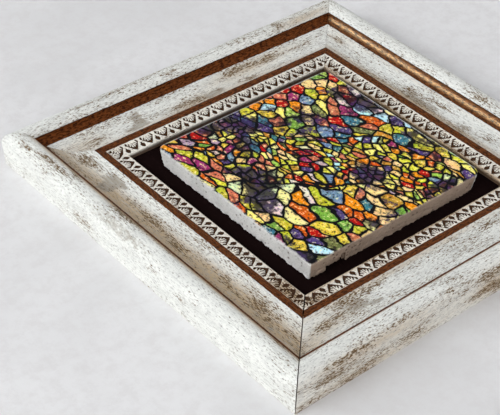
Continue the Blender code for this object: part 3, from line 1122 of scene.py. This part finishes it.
def leaded_glass(tree, flat):
    """Edge distance, two random numbers a piece, and 1 outside the stream of small pieces."""
    sizes = bpy.context.scene.plaque_tile
    # Slow bends and a small tremor
    bent = wavered(tree, wavered(tree, flat, 26.0, 22.0 * MM), 260.0, 2.6 * MM)
    inputs = {"Vector": bent, "Rotation": (0.0, 0.0, math.radians(-38.0)), "Scale": (0.70, 1.12, 1.0)}
    flow = add_node(tree, "ShaderNodeMapping", inputs, vector_type="POINT").outputs[0]
    small = cells(tree, flow, sizes.small_cell)
    large = cells(tree, flow, sizes.large_cell)
    course, side, _ = parts_of(tree, flow)
    swing = maths(tree, "SINE", times(tree, course, STREAM_PACE))
    offset = less(tree, side, times(tree, swing, STREAM_SWING))
    bank = less(tree, maths(tree, "ABSOLUTE", offset), STREAM_HALF)
    outside = maths(tree, "GREATER_THAN", bank, 0.0)
    inside = less(tree, 1.0, outside)
    edge, chance, pick = (
        maths(tree, "ADD", times(tree, outside, far), times(tree, inside, near))
        for near, far in zip(small, large)
    )
    edge = maths(tree, "MINIMUM", edge, maths(tree, "ABSOLUTE", bank))
    return edge, chance, pick, outside


def print_colour(tree, flat):
    """The generic leaded-glass print, in watercolour."""
    lead = bpy.context.scene.plaque_tile.lead_line
    edge, chance, pick, outside = leaded_glass(tree, flat)
    cool_share = linear(tree, outside, 0.14, 0.24)
    cool = maths(tree, "LESS_THAN", pick, cool_share)
    glass = mixed(tree, cool, palette(tree, chance, WARM_GLASS), palette(tree, chance, COOL_GLASS))

    # The tone wanders within a piece, and darker pools gather along the lines
    wash = cloud(tree, flat, 520.0, detail=2.0, roughness=0.75)
    dabs = cloud(tree, flat, 150.0, detail=4.0, roughness=0.7, output="Color")
    glass = mixed(tree, 0.55, glass, dabs, blend="OVERLAY")
    glass = mixed(tree, times(tree, step_up(tree, wash, 0.54, 0.70), 0.72), glass, GLASS_LIGHT)
    inputs = {"Saturation": 1.06, "Value": 1.42, "Color": glass}
    glass = add_node(tree, "ShaderNodeHueSaturation", inputs).outputs[0]
    glass = mixed(tree, times(tree, step_up(tree, wash, 0.49, 0.33), 0.94), glass, GLASS_SHADE)
    glass = mixed(tree, times(tree, step_up(tree, edge, 2.4 * lead, lead), 0.40), glass, GLASS_POOL)

    # A few dark ink clouds, then the lead lines over everything
    ink = cloud(tree, flat, 24.0, (4.7, 1.9, 0.0), detail=6.0, roughness=0.7)
    inked = mixed(tree, step_up(tree, dabs, 0.45, 0.60), INK_BLACK, INK_VIOLET)
    glass = mixed(tree, times(tree, step_up(tree, ink, 0.52, 0.575), 0.94), glass, inked)
    thick = linear(tree, cloud(tree, flat, 300.0), 1.2 * lead, 0.45 * lead)
    line = step_up(tree, less(tree, edge, thick), 0.06 * MM, -0.06 * MM)
    return mixed(tree, line, glass, LEAD)


def stone_colour(tree, place):
    """Stone with dark and light grains, pits and a painted-shade left side, and a mask of its dark grains.
    """
    colours = bpy.context.scene.plaque_finish
    millimetres = scaled(tree, place, 1.0 / MM)
    dark = flecks(tree, millimetres, 1.6, 1.5, 0.36, 0.12)
    light = flecks(tree, scaled(tree, millimetres, 1.0, (9.0, 4.0, 2.0)), 1.0, 1.7, 0.36, 0.10)
    tone = step_up(tree, cloud(tree, place, 60.0, detail=4.0), 0.35, 0.7)
    stone = mixed(tree, tone, colours.stone, toned(colours.stone, 0.84))
    stone = mixed(tree, times(tree, light, 0.5), stone, STONE_LIGHT_GRAINS)
    stone = mixed(tree, times(tree, dark, 0.5), stone, STONE_DARK_GRAINS)
    # Painted shade: the tile's left side is darkened and browned
    stone = mixed(tree, attribute(tree, "left_side"), stone, colours.left_side_shade, blend="MULTIPLY")
    return mixed(tree, times(tree, attribute(tree, "pit"), 0.9), stone, STONE_PITS), dark


def print_cover(tree, flat, right, up, depth):
    """Where the print is: on the face, worn away raggedly along the upper edge and hardly at the others."""
    ragged = cloud(tree, flat, 260.0, detail=6.0, roughness=0.75)
    upper = less(tree, less(tree, TILE_HALF, up), linear(tree, ragged, 6.0 * MM, -2.0 * MM))
    others = maths(tree, "MAXIMUM", maths(tree, "ABSOLUTE", right), times(tree, up, -1.0))
    others = less(tree, less(tree, TILE_HALF, others), linear(tree, ragged, 2.0 * MM, -0.6 * MM))
    kept = step_up(tree, maths(tree, "MINIMUM", upper, others), -0.7 * MM, 0.7 * MM)
    front = step_up(tree, depth, TILE_LOW.y + 0.5 * MM, TILE_LOW.y + 0.2 * MM)
    return times(tree, kept, front)


def tile_material():
    """Tumbled stone, with a generic leaded-glass print on its face that wears away at the rim."""
    material, tree, shader = new_material("printed stone")
    place = object_place(tree)
    x, depth, z = parts_of(tree, place)
    # The print's own plane: X to the right and Y up, from the tile's middle
    right = less(tree, x, TILE_MIDDLE.x)
    up = less(tree, z, TILE_MIDDLE.z)
    flat = add_node(tree, "ShaderNodeCombineXYZ", {"X": right, "Y": up}).outputs[0]
    stone, grains = stone_colour(tree, place)
    cover = print_cover(tree, flat, right, up, depth)
    texture = times(tree, grains, less(tree, cover, 1.0))
    looks = {
        "Base Color": mixed(tree, cover, stone, print_colour(tree, flat)),
        "Roughness": between(tree, cover, STONE_ROUGHNESS, PRINT_ROUGHNESS),
        "Specular IOR Level": 0.05,
        "Normal": bumped(tree, texture, 0.15 * MM, 0.8),
    }
    connect(tree, shader, looks)
    return material


# ---------------------------------------------------------------- tile


# The worn corners, by their signs in X and Z: radius, and how far the corner is broken away at the back
TILE_CORNERS = {
    (1, 1): (4.0 * MM, 0.9 * MM),
    (-1, 1): (0.8 * MM, 0.0),
    (-1, -1): (5.5 * MM, 1.4 * MM),
    (1, -1): (3.6 * MM, 0.0),
}
CORNER_REACH = 6.0 * MM
# Chips in the back edge of the left side: lower end, upper end and depth, and the heights, as shares of the
# tile's thickness, where each starts and where it is at its full depth
TILE_CHIPS = (
    (33.0 * MM, 42.0 * MM, 1.5 * MM, 0.42, 0.36),
    (31.5 * MM, 33.5 * MM, 1.2 * MM, 0.62, 0.50),
)
PIT_DEPTH = 0.5 * MM


def rounded(place):
    """A place on the rim of the square tile, moved onto the rounding of the nearest corner."""
    corner = (1 if place.x > 0.0 else -1, 1 if place.y > 0.0 else -1)
    radius = TILE_CORNERS[corner][0]
    centre = Vector(corner) * (TILE_HALF - radius)
    away = place - centre
    if away.x * corner[0] > 0.0 and away.y * corner[1] > 0.0:
        return centre + away.normalized() * radius
    return place


def side_wear(x, z, height):
    """How far the tile's side is worn in at a place on its rim; height is 0 at the back, 1 at the front."""
    place = Vector((x, z, height * 8.0 * MM)) / MM
    ragged = noise.fractal(place * 0.35, 0.8, 2.2, 4)
    low = 1.0 - height
    wear = (0.50 + 0.55 * ragged) * MM * low**1.8 + (0.05 + 0.30 * low) * MM * noise.noise(place)
    for (corner_x, corner_z), (_, depth) in TILE_CORNERS.items():
        distance = math.hypot(x - corner_x * TILE_HALF, z - corner_z * TILE_HALF)
        wear += depth * max(0.0, 1.0 - distance / CORNER_REACH) * low
    return wear


def pit_at(place):
    """Depth of the small holes in the stone at a place, from 0 to 1."""
    place = place / MM
    big, _ = noise.voronoi(place * 0.42)
    small, _ = noise.voronoi(place * 1.1 + Vector((5.0, 2.0, 9.0)))
    deepest = max(smooth_step(0.30, 0.12, big[0]), 0.45 * smooth_step(0.26, 0.10, small[0]))
    # Whole patches of the stone have no holes
    return deepest * smooth_step(-0.10, 0.14, noise.noise(place * 0.11))


def build_tile(material):
    """A thick square plate, its face flat, its sides pitted and worn towards the back."""
    sizes = bpy.context.scene.plaque_tile
    # Each row of the wrapped grid: how far in from the rim and how far behind the face
    rows = [(1.2 * MM, 0.0), (0.5 * MM, 0.0), (0.2 * MM, 0.03 * MM), (0.06 * MM, 0.12 * MM)]
    for step in range(sizes.side_rows + 1):
        rows.append((0.0, TILE_THICK * (0.03 + 0.97 * step / sizes.side_rows)))
    columns = 4 * sizes.rim_steps
    form = bmesh.new()
    bmesh.ops.create_grid(form, x_segments=columns, y_segments=len(rows) - 1, size=0.5)
    pits = form.verts.layers.float.new("pit")
    left_side = form.verts.layers.float.new("left_side")
    for vert in form.verts:
        step = round((vert.co.x + 0.5) * columns)
        inset, behind = rows[round((0.5 - vert.co.y) * (len(rows) - 1))]
        quarter, rest = divmod(step % columns, sizes.rim_steps)
        turn = Matrix.Rotation(math.radians(90.0) * quarter, 2)
        rim = rounded(turn @ Vector((TILE_HALF, (2 * rest / sizes.rim_steps - 1) * TILE_HALF)))
        height = 1.0 - behind / TILE_THICK
        on_left = rim.x < 0.999 * -TILE_HALF
        for low, high, depth, start, full in TILE_CHIPS:
            if on_left and low < rim.y < high:
                inset += depth * smooth_step(start, full, height)
        # The face keeps its sharp outline
        side = smooth_step(0.0, 0.06, 1.0 - height)
        pit = pit_at(Vector((rim.x, height * TILE_THICK, rim.y))) * side
        inset += side_wear(rim.x, rim.y, height) * side + PIT_DEPTH * pit
        scale = (TILE_HALF - inset) / TILE_HALF
        vert[pits] = pit
        # Marks the left side for the painted shade in the tile's finish
        vert[left_side] = float(on_left)
        vert.co = (rim.x * scale + TILE_MIDDLE.x, TILE_LOW.y + behind, rim.y * scale + TILE_MIDDLE.z)
    close_shell(form, 0.001 * MM)
    for face in form.faces:
        face.smooth = len(face.verts) == 4
    return finish_piece("printed_tile", form, [material], sharp_angle=50.0)


# ---------------------------------------------------------------- studio


WALL_SMUDGE = (0.70, 0.68, 0.68)


def surround_material(see_through_back):
    """Pale, faintly clouded plaster; a wall with a see-through back doesn't hide the plaque from behind."""
    surround = bpy.context.scene.plaque_studio.surround
    material, tree, shader = new_material("pale surround")
    place = object_place(tree)
    drift = step_up(tree, cloud(tree, place, 7.0, detail=4.0, roughness=0.55, distortion=0.8), 0.38, 0.66)
    smudges = step_up(tree, cloud(tree, place, 130.0, detail=5.0, roughness=0.75), 0.40, 0.66)
    tone = mixed(tree, drift, surround, toned(surround, 0.90))
    tone = mixed(tree, times(tree, smudges, 0.45), tone, WALL_SMUDGE)
    connect(tree, shader, {"Base Color": tone, "Roughness": 0.7, "Specular IOR Level": 0.0})
    if see_through_back:
        behind = add_node(tree, "ShaderNodeNewGeometry").outputs["Backfacing"]
        shadow = add_node(tree, "ShaderNodeLightPath").outputs["Is Shadow Ray"]
        clear = add_node(tree, "ShaderNodeBsdfTransparent").outputs[0]
        inputs = {0: maths(tree, "MAXIMUM", behind, shadow), 1: shader.outputs[0], 2: clear}
        surface = add_node(tree, "ShaderNodeMixShader", inputs).outputs[0]
        connect(tree, tree.nodes["Material Output"], {"Surface": surface})
    return material


def add_light(name, kind, offset, power, **looks):
    """Light at an offset from the plaque's centre, turned to it."""
    data = bpy.data.lights.new(name, kind)
    data.energy = power
    for key, value in looks.items():
        setattr(data, key, value)
    light = bpy.data.objects.new(name, data)
    bpy.context.scene.collection.objects.link(light)
    place = CENTRE + Vector(offset)
    light.location = place
    light.rotation_euler = (place - CENTRE).to_track_quat("Z", "Y").to_euler()
    return light


def add_lights(studio):
    """A broad key light from above, a fill from the left, a glossy strip and a light for the back."""
    add_light("key", "AREA", (0.44, -1.04, 1.58), studio.key_power, shape="RECTANGLE", size=1.8, size_y=0.4)
    add_light("fill", "AREA", (-1.8, -0.8, 1.0), studio.fill_power, size=1.6)
    # A cool strip that shows in glossy reflections alone
    strip = {"shape": "RECTANGLE", "size": 1.6, "size_y": 0.35, "color": (0.32, 0.68, 1.0)}
    gloss = add_light("gloss", "AREA", (0.94, -0.88, 0.96), studio.gloss_power, **strip)
    gloss.visible_diffuse = False
    # Straight from behind, so that it lights the plaque's back alone
    add_light("back light", "SUN", (0.0, 1.0, 0.0), 2.0, angle=math.radians(4.0))


def add_camera(studio):
    """The camera that looks at the plaque from its left and above."""
    data = bpy.data.cameras.new("camera")
    data.sensor_width = 36.0
    data.lens = studio.lens
    data.clip_start = 0.01
    camera = bpy.data.objects.new("camera", data)
    bpy.context.scene.collection.objects.link(camera)
    camera.location = CENTRE + Vector(studio.camera_place)
    camera.rotation_euler = studio.camera_turn
    bpy.context.scene.camera = camera


# ---------------------------------------------------------------- operators


class PLAQUE_OT_studio(bpy.types.Operator):
    """Set up the wall, the floor, the light and the camera"""

    bl_idname = "plaque.studio"
    bl_label = "Studio"

    def execute(self, context):
        studio = context.scene.plaque_studio
        for name, angle, place in (("wall", 90.0, (0.0, 0.1 * MM, 1.2)), ("floor", 0.0, (0.0, 0.0, -0.8))):
            form = bmesh.new()
            bmesh.ops.create_grid(form, x_segments=8, y_segments=8, size=2.0)
            bmesh.ops.rotate(form, verts=form.verts, matrix=Matrix.Rotation(math.radians(angle), 3, "X"))
            bmesh.ops.translate(form, verts=form.verts, vec=place)
            plane = finish_piece(name, form, [surround_material(see_through_back=name == "wall")])

        world = bpy.data.worlds.new("soft sky")
        world.use_nodes = True
        looks = {"Color": (*studio.sky, 1.0), "Strength": studio.sky_strength}
        connect(world.node_tree, world.node_tree.nodes["Background"], looks)
        context.scene.world = world
        context.scene.view_settings.view_transform = "Standard"
        add_lights(studio)
        add_camera(studio)
        return {"FINISHED"}


class PLAQUE_OT_mouldings(bpy.types.Operator):
    """Build the four mitred mouldings"""

    bl_idname = "plaque.mouldings"
    bl_label = "Mouldings"

    def execute(self, context):
        paint = paint_material()
        raw = raw_wood_material("raw wood", 1.0)
        # Nearly black wood for the mitre faces: painted shade inside the mitre gaps
        mitre = raw_wood_material("shaded mitre wood", 0.1)
        for side in RAIL_TURNS:
            rail = build_rail(side, [paint, raw, mitre])
            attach(rail, "root")
            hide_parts(f"frame_rail_{side}")
        return {"FINISHED"}


class PLAQUE_OT_board(bpy.types.Operator):
    """Finish the backing board"""

    bl_idname = "plaque.board"
    bl_label = "Backing board"

    def execute(self, context):
        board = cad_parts["backing_board"]
        material = board_material()
        for slot in board.material_slots:
            slot.material = material
        return {"FINISHED"}


class PLAQUE_OT_tile(bpy.types.Operator):
    """Build the printed stone tile"""

    bl_idname = "plaque.tile"
    bl_label = "Stone tile"

    def execute(self, context):
        tile = build_tile(tile_material())
        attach(tile, "root")
        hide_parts("stone_tile")
        return {"FINISHED"}


class PLAQUE_PT_panel(bpy.types.Panel):
    """Plaque tools in the sidebar"""

    bl_label = "Framed Stone Plaque"
    bl_idname = "PLAQUE_PT_panel"
    bl_space_type = "VIEW_3D"
    bl_region_type = "UI"
    bl_category = "Plaque"

    def draw(self, context):
        for operator in OPERATORS:
            self.layout.operator(operator.bl_idname)


SETTINGS = {
    "plaque_moulding": MouldingSettings,
    "plaque_leaf_band": LeafBandSettings,
    "plaque_finish": FinishSettings,
    "plaque_tile": TileSettings,
    "plaque_studio": StudioSettings,
}
OPERATORS = (PLAQUE_OT_studio, PLAQUE_OT_mouldings, PLAQUE_OT_board, PLAQUE_OT_tile)


def register():
    for name, group in SETTINGS.items():
        bpy.utils.register_class(group)
        setattr(bpy.types.Scene, name, PointerProperty(type=group))
    for made in (*OPERATORS, PLAQUE_PT_panel):
        bpy.utils.register_class(made)


def unregister():
    for made in (PLAQUE_PT_panel, *reversed(OPERATORS)):
        bpy.utils.unregister_class(made)
    for name, group in reversed(SETTINGS.items()):
        delattr(bpy.types.Scene, name)
        bpy.utils.unregister_class(group)


def main():
    """Build the plaque."""
    register()
    bpy.ops.plaque.studio()
    bpy.ops.plaque.mouldings()
    bpy.ops.plaque.board()
    bpy.ops.plaque.tile()


if __name__ == "__main__":
    main()
